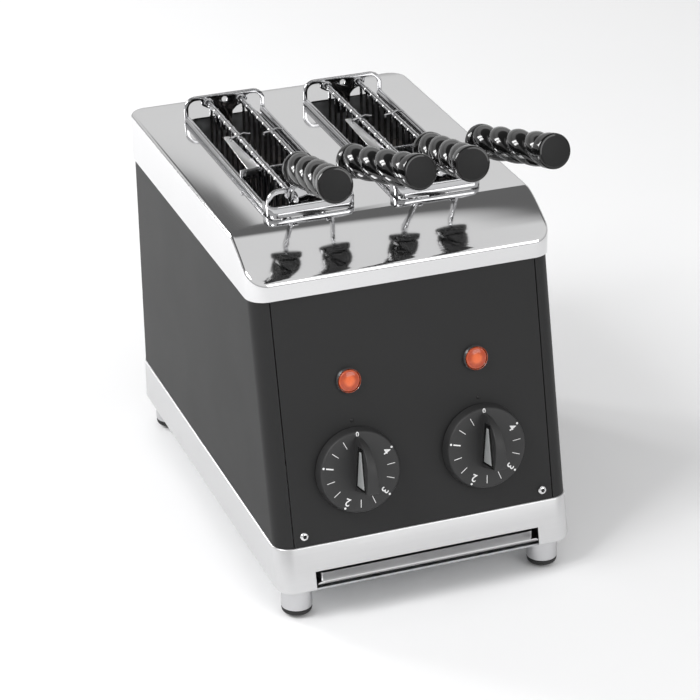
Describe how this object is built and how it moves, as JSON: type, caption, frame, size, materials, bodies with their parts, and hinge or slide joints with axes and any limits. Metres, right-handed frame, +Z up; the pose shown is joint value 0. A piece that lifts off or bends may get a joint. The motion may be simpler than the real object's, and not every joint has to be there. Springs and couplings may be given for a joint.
{
  "type": "sandwich toaster with lift-out tongs",
  "caption": "Upright counter toaster with a sloping front, timer knobs, signal lamps, crumb tray, and wire tongs with spiral handles that hang in slots of the lid.",
  "frame": {"origin": "middle of the toaster's footprint, handles and gland included, on the level of the surface that its feet stand on", "axes": "+Z up; the sloping front with the knobs faces -Y; +X to the right as seen from the front"},
  "size_m": [0.22, 0.3735, 0.347],
  "materials": {
    "satin_steel": "satin stainless steel",
    "galvanised_steel": "plain galvanised steel",
    "polished_steel": "mirror-polished stainless steel",
    "chrome_wire": "bright chromed steel wire and strip",
    "charcoal_paint": "satin charcoal powder coat",
    "grey_plastic": "grey moulded plastic",
    "black_plastic": "matte black moulded plastic",
    "bakelite": "glossy black bakelite",
    "black_rubber": "black rubber",
    "amber_lens": "clear orange lamp lens",
    "white_plastic": "white moulded timer case",
    "inlay_metal": "satin grey metal strip",
    "element_sheath": "heat-darkened metal sheath",
    "ceramic": "unglazed white ceramic",
    "loom_sleeve": "woven heat-proof sleeve"
  },
  "bodies": {
    "housing": {"base_frame": "satin_steel", "base_plate": "galvanised_steel", "foot_sleeve_front_left": "grey_plastic", "foot_sleeve_front_right": "grey_plastic", "foot_sleeve_rear_left": "grey_plastic", "foot_sleeve_rear_right": "grey_plastic", "foot_pad_front_left": "black_rubber", "foot_pad_front_right": "black_rubber", "foot_pad_rear_left": "black_rubber", "foot_pad_rear_right": "black_rubber", "body_wrap": "charcoal_paint", "front_panel": "charcoal_paint", "top_cover": "polished_steel", "panel_rail": "galvanised_steel", "panel_screw_left": "polished_steel", "panel_screw_right": "polished_steel", "pilot_lamp_left": "polished_steel", "pilot_lamp_right": "polished_steel", "pilot_lens_left": "amber_lens", "pilot_lens_right": "amber_lens", "timer_left": "white_plastic", "timer_right": "white_plastic", "chamber_wall_front": "galvanised_steel", "chamber_wall_rear": "galvanised_steel", "reflector_left": "polished_steel", "reflector_centre": "polished_steel", "reflector_right": "polished_steel", "element_rack_front": "galvanised_steel", "element_rack_rear": "galvanised_steel", "heating_element_left_outer": "element_sheath", "heating_element_left_inner": "element_sheath", "heating_element_right_inner": "element_sheath", "heating_element_right_outer": "element_sheath", "terminal_block": "ceramic", "cord_gland": "black_plastic", "wiring_loom_left": "loom_sleeve", "wiring_loom_right": "loom_sleeve"},
    "crumb_tray": {"crumb_tray": "satin_steel"},
    "knob_left": {"knob_left": "black_plastic", "knob_inlay_left": "inlay_metal", "timer_shaft_left": "galvanised_steel"},
    "knob_right": {"knob_right": "black_plastic", "knob_inlay_right": "inlay_metal", "timer_shaft_right": "galvanised_steel"},
    "tongs_left": {"tong_frame_left": "chrome_wire", "front_hoop_left": "chrome_wire", "rear_hoop_left": "chrome_wire", "leaf_spring_left": "chrome_wire"},
    "tongs_right": {"tong_frame_right": "chrome_wire", "front_hoop_right": "chrome_wire", "rear_hoop_right": "chrome_wire", "leaf_spring_right": "chrome_wire"},
    "cage_left_outer": {"cage_left_outer": "chrome_wire", "handle_left_outer": "bakelite"},
    "cage_left_inner": {"cage_left_inner": "chrome_wire", "handle_left_inner": "bakelite"},
    "cage_right_inner": {"cage_right_inner": "chrome_wire", "handle_right_inner": "bakelite"},
    "cage_right_outer": {"cage_right_outer": "chrome_wire", "handle_right_outer": "bakelite"}
  },
  "joints": [
    {"name": "tray_slide", "type": "slide", "parent": "housing", "child": "crumb_tray", "axis": [0, -1, 0], "range_m": [0, 0.31]},
    {"name": "knob_left_turn", "type": "hinge", "parent": "housing", "child": "knob_left", "pos_m": [-0.0465, -0.1337, 0.10281], "axis": [0, 0.9751, -0.2215], "range_deg": [0, 300]},
    {"name": "knob_right_turn", "type": "hinge", "parent": "housing", "child": "knob_right", "pos_m": [0.0465, -0.1337, 0.10281], "axis": [0, 0.9751, -0.2215], "range_deg": [0, 300]},
    {"name": "tongs_left_lift", "type": "slide", "parent": "housing", "child": "tongs_left", "axis": [0, 0, 1], "range_m": [0, 0.15]},
    {"name": "tongs_right_lift", "type": "slide", "parent": "housing", "child": "tongs_right", "axis": [0, 0, 1], "range_m": [0, 0.15]},
    {"name": "cage_left_outer_turn", "type": "hinge", "parent": "tongs_left", "child": "cage_left_outer", "pos_m": [-0.059, 0.0465, 0.2738], "axis": [0, 1, 0], "range_deg": [0, 5], "stiffness_Nm_per_rad": 3, "springref_deg": -5.73},
    {"name": "cage_left_inner_turn", "type": "hinge", "parent": "tongs_left", "child": "cage_left_inner", "pos_m": [-0.034, 0.0465, 0.2738], "axis": [0, -1, 0], "range_deg": [0, 5], "stiffness_Nm_per_rad": 3, "springref_deg": -5.73},
    {"name": "cage_right_inner_turn", "type": "hinge", "parent": "tongs_right", "child": "cage_right_inner", "pos_m": [0.034, 0.0465, 0.2738], "axis": [0, 1, 0], "range_deg": [0, 5], "stiffness_Nm_per_rad": 3, "springref_deg": -5.73},
    {"name": "cage_right_outer_turn", "type": "hinge", "parent": "tongs_right", "child": "cage_right_outer", "pos_m": [0.059, 0.0465, 0.2738], "axis": [0, -1, 0], "range_deg": [0, 5], "stiffness_Nm_per_rad": 3, "springref_deg": -5.73}
  ]
}
